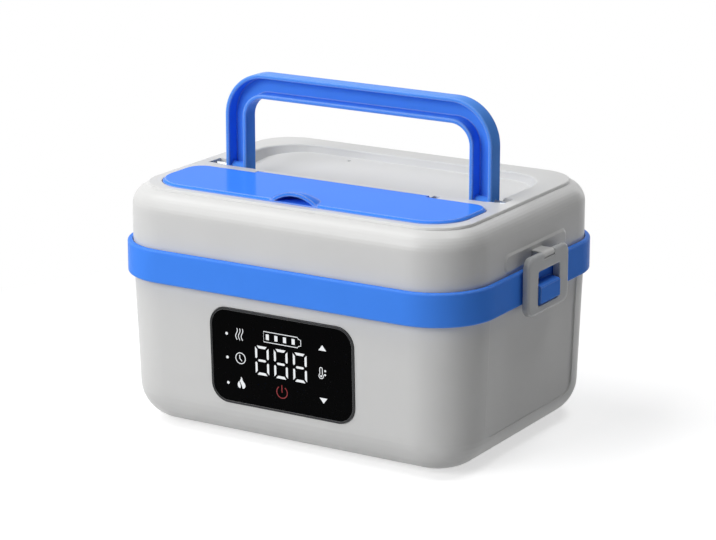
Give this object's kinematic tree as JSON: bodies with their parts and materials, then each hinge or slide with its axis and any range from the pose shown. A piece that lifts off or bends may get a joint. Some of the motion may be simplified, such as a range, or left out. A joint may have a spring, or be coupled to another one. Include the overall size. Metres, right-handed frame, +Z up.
{
  "type": "electric lunch box",
  "caption": "Portable electric lunch box with a lift-out steel container, a latched lift-off lid, a hinged cutlery cover and a folding carry handle.",
  "frame": {"origin": "centre of the box on the surface that the rubber feet stand on", "axes": "+Z up, -Y out of the front wall with the touch panel, +X to the right as seen from the front"},
  "size_m": [0.2492, 0.1796, 0.1974],
  "materials": {
    "grey_plastic": "gloss",
    "blue_plastic": "gloss",
    "steel": "brushed",
    "aluminium": "satin",
    "black_glass": "gloss",
    "dark_plastic": "matte",
    "white_plastic": "matte",
    "clear_lid": "gloss",
    "silicone": "matte",
    "feet_rubber": "matte",
    "circuit_board": "satin",
    "cell_wrap": "gloss",
    "heater_film": "satin",
    "mineral_pad": "matte"
  },
  "bodies": {
    "base": {"base_shell": "grey_plastic", "bottom_cover": "grey_plastic", "rubber_feet": "feet_rubber", "bottom_screws": "steel", "mid_band": "blue_plastic", "inner_liner": "white_plastic", "frame_screws": "steel", "heating_plate": "aluminium", "heating_film": "heater_film", "insulation_pad": "mineral_pad", "heater_bracket": "steel", "heater_screws": "steel", "temperature_sensor": "aluminium", "thermal_fuse": "steel", "battery_cells": "cell_wrap", "battery_holder": "dark_plastic", "control_board": "circuit_board", "display_board": "circuit_board", "display_screws": "steel", "display_bezel": "dark_plastic", "touch_panel": "black_glass", "charge_socket": "dark_plastic"},
    "lid": {"lid_shell": "grey_plastic", "lid_liner": "white_plastic", "lid_gasket": "silicone", "lid_screws": "steel", "vent_valve": "silicone", "cutlery_tray": "blue_plastic", "cover_hinge_pins": "steel", "handle_pins": "steel", "latch_pins": "steel"},
    "container": {"food_container": "steel"},
    "container_lid": {"container_lid": "clear_lid", "container_seal": "silicone", "steam_plug": "silicone"},
    "cutlery_cover": {"cutlery_cover": "blue_plastic"},
    "handle": {"handle": "blue_plastic"},
    "latch_right": {"latch_right": "grey_plastic"},
    "latch_left": {"latch_left": "grey_plastic"}
  },
  "joints": [
    {"name": "lid_lift", "type": "slide", "parent": "base", "child": "lid", "axis": [0, 0, 1], "range_m": [0, 0.09]},
    {"name": "container_lift", "type": "slide", "parent": "base", "child": "container", "axis": [0, 0, 1], "range_m": [0, 0.073]},
    {"name": "container_lid_lift", "type": "slide", "parent": "container", "child": "container_lid", "axis": [0, 0, 1], "range_m": [0, 0.011]},
    {"name": "cover_hinge", "type": "hinge", "parent": "lid", "child": "cutlery_cover", "pos_m": [0, -0.0146, 0.1391], "axis": [-1, 0, 0], "range_deg": [0, 85]},
    {"name": "handle_hinge", "type": "hinge", "parent": "lid", "child": "handle", "pos_m": [0, 0, 0.13914], "axis": [-1, 0, 0], "range_deg": [0, 86]},
    {"name": "latch_right_hinge", "type": "hinge", "parent": "lid", "child": "latch_right", "pos_m": [0.12135, 0, 0.11475], "axis": [0, -1, 0], "range_deg": [0, 130]},
    {"name": "latch_left_hinge", "type": "hinge", "parent": "lid", "child": "latch_left", "pos_m": [-0.12135, 0, 0.11475], "axis": [0, 1, 0], "range_deg": [0, 130]}
  ],
  "couplings": [
    {"joint": "container_lift", "follows": "lid_lift", "ratio": 0.8},
    {"joint": "container_lid_lift", "follows": "lid_lift", "ratio": 0.12},
    {"joint": "latch_right_hinge", "follows": "lid_lift", "rad_per_m": 25},
    {"joint": "latch_left_hinge", "follows": "lid_lift", "rad_per_m": 25}
  ]
}
